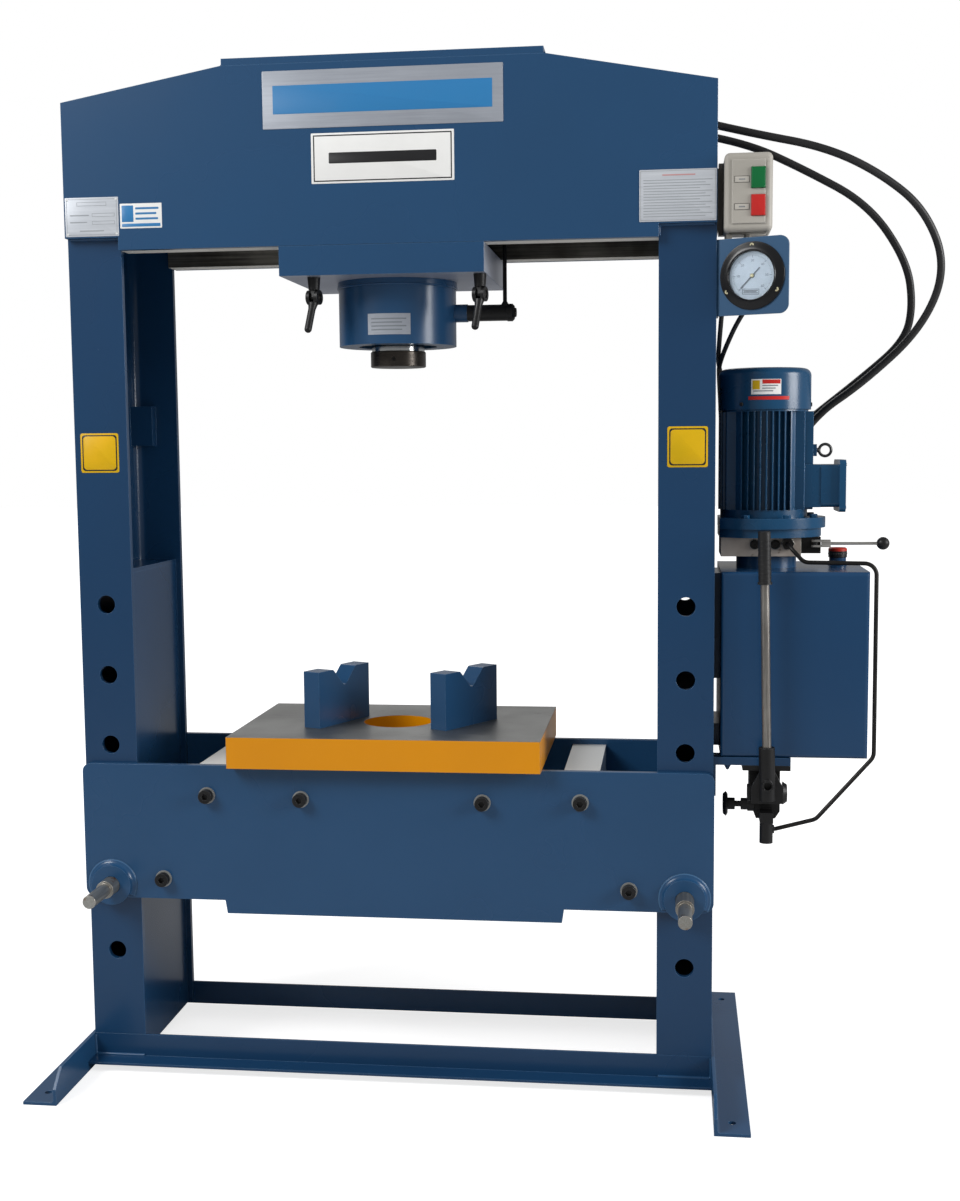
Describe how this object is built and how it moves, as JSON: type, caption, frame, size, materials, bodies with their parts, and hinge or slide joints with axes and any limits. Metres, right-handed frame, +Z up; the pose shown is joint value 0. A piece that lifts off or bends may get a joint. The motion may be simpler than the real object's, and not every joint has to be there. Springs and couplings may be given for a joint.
{
  "type": "hydraulic workshop press",
  "caption": "Tall two-column workshop press with sliding cylinder, pinned bed, drilled table, V-blocks, motor pump unit, hand pump, gauge and start-stop box.",
  "frame": {"origin": "on the floor, midway between the four anchor holes of the feet", "axes": "+Z up, the height; +X to the right as seen from the front, along the bed; +Y to the back; the front faces -Y"},
  "size_m": [1.7466, 0.734, 1.9715],
  "materials": {
    "frame_blue": "gloss",
    "ground_steel": "ground",
    "light_steel": "satin",
    "black_steel": "satin",
    "chrome": "polished",
    "pale_aluminium": "cast",
    "motor_blue": "satin",
    "box_grey": "satin",
    "dark_plastic": "satin",
    "green_plastic": "gloss",
    "red_plastic": "gloss",
    "glass": "clear",
    "dial_white": "matte",
    "black_rubber": "satin"
  },
  "bodies": {
    "frame": {"left_column": "frame_blue", "right_column": "frame_blue", "head_front_plate": "frame_blue", "head_rear_plate": "frame_blue", "head_top_plate": "frame_blue", "head_rails": "ground_steel", "base_angles": "frame_blue", "left_foot": "frame_blue", "right_foot": "frame_blue", "bed_front_plate": "frame_blue", "bed_rear_plate": "frame_blue", "bed_cross_bars": "light_steel", "bed_bolts": "black_steel", "table_plate": "ground_steel", "v_block_left": "frame_blue", "v_block_right": "frame_blue", "gauge_panel": "frame_blue", "gauge_case": "dark_plastic", "gauge_dial": "dial_white", "gauge_glass": "glass", "switch_box_base": "dark_plastic", "switch_box_cover": "box_grey", "oil_tank": "frame_blue", "pump_adapter": "frame_blue", "manifold_block": "pale_aluminium", "directional_valve": "black_steel", "motor_flange": "motor_blue", "motor_housing": "motor_blue", "fan_cowl": "motor_blue", "terminal_box": "motor_blue", "lifting_eye": "ground_steel", "hand_pump_body": "black_steel", "pressure_pipe": "black_steel", "hose_fittings": "ground_steel", "outer_hose": "black_rubber", "inner_hose": "black_rubber", "gauge_hose": "black_rubber", "motor_cable": "black_rubber"},
    "carriage": {"carriage_block": "frame_blue", "carriage_hangers": "frame_blue", "cylinder_barrel": "frame_blue", "cylinder_gland": "black_steel", "port_cylinder": "black_steel", "clamp_stems": "black_steel"},
    "ram": {"ram_rod": "chrome", "ram_nose": "black_steel"},
    "left_clamp": {"left_clamp_lever": "black_steel"},
    "right_clamp": {"right_clamp_lever": "black_steel"},
    "left_pin": {"left_bed_pin": "ground_steel"},
    "right_pin": {"right_bed_pin": "ground_steel"},
    "pump_arm": {"pump_lever": "black_steel", "pump_grip": "black_rubber"},
    "release": {"release_knob": "black_steel"},
    "valve_hand": {"valve_lever": "black_steel"},
    "start": {"start_button": "green_plastic"},
    "stop": {"stop_button": "red_plastic"},
    "needle": {"gauge_needle": "black_steel"},
    "cap": {"filler_cap": "red_plastic"},
    "fan": {"motor_fan": "dark_plastic"}
  },
  "joints": [
    {"name": "carriage_slide", "type": "slide", "parent": "frame", "child": "carriage", "axis": [1, 0, 0], "range_m": [-0.205, 0.215]},
    {"name": "ram_stroke", "type": "slide", "parent": "carriage", "child": "ram", "axis": [0, 0, -1], "range_m": [0, 0.27]},
    {"name": "left_clamp_turn", "type": "hinge", "parent": "carriage", "child": "left_clamp", "pos_m": [-0.141, -0.14, 1.53], "axis": [0.9744, -0.225, 0], "range_deg": [-30, 65]},
    {"name": "right_clamp_turn", "type": "hinge", "parent": "carriage", "child": "right_clamp", "pos_m": [0.179, -0.14, 1.53], "axis": [0.9744, -0.225, 0], "range_deg": [-30, 65]},
    {"name": "left_pin_draw", "type": "slide", "parent": "frame", "child": "left_pin", "axis": [0, -1, 0], "range_m": [0, 0.38]},
    {"name": "right_pin_draw", "type": "slide", "parent": "frame", "child": "right_pin", "axis": [0, -1, 0], "range_m": [0, 0.36]},
    {"name": "pump_stroke", "type": "hinge", "parent": "frame", "child": "pump_arm", "pos_m": [0.72, -0.15, 0.585], "axis": [1, 0, 0], "range_deg": [-2, 38]},
    {"name": "release_turn", "type": "hinge", "parent": "frame", "child": "release", "pos_m": [0.648, -0.12, 0.556], "axis": [-1, 0, 0], "range_deg": [0, 360]},
    {"name": "valve_shift", "type": "hinge", "parent": "frame", "child": "valve_hand", "pos_m": [0.812, -0.0685, 1.054], "axis": [0, 0, 1], "range_deg": [-20, 20], "stiffness_Nm_per_rad": 2},
    {"name": "start_press", "type": "slide", "parent": "frame", "child": "start", "axis": [0, 1, 0], "range_m": [0, 0.003], "stiffness_N_per_m": 500},
    {"name": "stop_press", "type": "slide", "parent": "frame", "child": "stop", "axis": [0, 1, 0], "range_m": [0, 0.003], "stiffness_N_per_m": 500},
    {"name": "needle_sweep", "type": "hinge", "parent": "frame", "child": "needle", "pos_m": [0.68379, -0.18077, 1.5489], "axis": [0.3746, 0.9272, 0], "range_deg": [0, 270], "stiffness_Nm_per_rad": 0.002},
    {"name": "cap_turn", "type": "hinge", "parent": "frame", "child": "cap", "pos_m": [0.866, 0.04, 1.03], "axis": [0, 0, 1], "range_deg": [0, 360]},
    {"name": "fan_spin", "type": "hinge", "parent": "frame", "child": "fan", "pos_m": [0.718, 0, 1.34], "axis": [0, 0, 1], "continuous": true}
  ]
}
